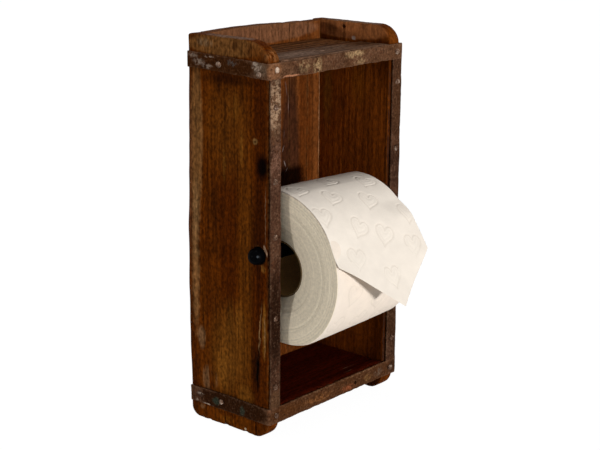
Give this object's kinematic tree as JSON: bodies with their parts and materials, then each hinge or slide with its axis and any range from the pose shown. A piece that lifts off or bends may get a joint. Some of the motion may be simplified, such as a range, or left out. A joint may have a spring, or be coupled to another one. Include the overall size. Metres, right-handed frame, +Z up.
{
  "type": "toilet roll holder",
  "caption": "Tall open-fronted wooden box holder with iron bands and straps, a small gallery shelf on top and a pull-out rod that carries a toilet roll with a folded loose end.",
  "frame": {"origin": "centre of the flat back face that lies against the wall, midway across the case and midway up it", "axes": "+X to the right as seen from the front, +Y back towards the wall, +Z up"},
  "size_m": [0.1576, 0.1554, 0.293],
  "materials": {
    "side_wood": "satin",
    "back_wood": "satin",
    "shelf_wood": "matte",
    "floor_wood": "satin",
    "band_iron": "matte",
    "strap_iron": "matte",
    "nail_iron": "satin",
    "rod_black": "gloss",
    "roll_paper": "matte",
    "sheet_paper": "matte",
    "core_card": "matte"
  },
  "bodies": {
    "holder": {"left_side_board": "side_wood", "right_side_board": "side_wood", "shelf_front_plank": "shelf_wood", "shelf_rear_plank": "shelf_wood", "bottom_board": "floor_wood", "back_plank_left": "back_wood", "back_plank_middle": "back_wood", "back_plank_right": "back_wood", "top_iron_band": "band_iron", "bottom_iron_band": "band_iron", "left_front_strap": "strap_iron", "right_front_strap": "strap_iron", "nail_left_strap_1": "nail_iron", "nail_left_strap_2": "nail_iron", "nail_left_strap_3": "nail_iron", "nail_left_strap_4": "nail_iron", "nail_left_strap_5": "nail_iron", "nail_right_strap_1": "nail_iron", "nail_right_strap_2": "nail_iron", "nail_right_strap_3": "nail_iron", "nail_right_strap_4": "nail_iron", "nail_top_band_left_corner": "nail_iron", "nail_top_band_left_front": "nail_iron", "nail_top_band_left_rear": "nail_iron", "nail_top_band_right_corner": "nail_iron", "nail_top_band_right_front": "nail_iron", "nail_top_band_right_rear": "nail_iron", "nail_bottom_band_left_corner": "nail_iron", "nail_bottom_band_left_rear": "nail_iron", "nail_bottom_band_right_corner": "nail_iron", "nail_bottom_band_right_rear": "nail_iron", "nail_back_left_top": "nail_iron", "nail_back_left_bottom": "nail_iron", "nail_back_middle_top": "nail_iron", "nail_back_middle_bottom": "nail_iron", "nail_back_right_top": "nail_iron", "nail_back_right_bottom": "nail_iron"},
    "rod": {"roll_rod": "rod_black"},
    "roll": {"paper_roll": "roll_paper", "cardboard_core": "core_card"},
    "paper_end": {"loose_sheet": "sheet_paper"}
  },
  "joints": [
    {"name": "rod_slide", "type": "slide", "parent": "holder", "child": "rod", "axis": [-1, 0, 0], "range_m": [0, 0.15]},
    {"name": "roll_spin", "type": "hinge", "parent": "holder", "child": "roll", "pos_m": [-0.011, -0.0711, -0.01975], "axis": [1, 0, 0], "continuous": true},
    {"name": "paper_end_swing", "type": "hinge", "parent": "holder", "child": "paper_end", "pos_m": [-0.011, -0.0711, -0.01975], "axis": [1, 0, 0], "range_deg": [-75, 75]}
  ]
}
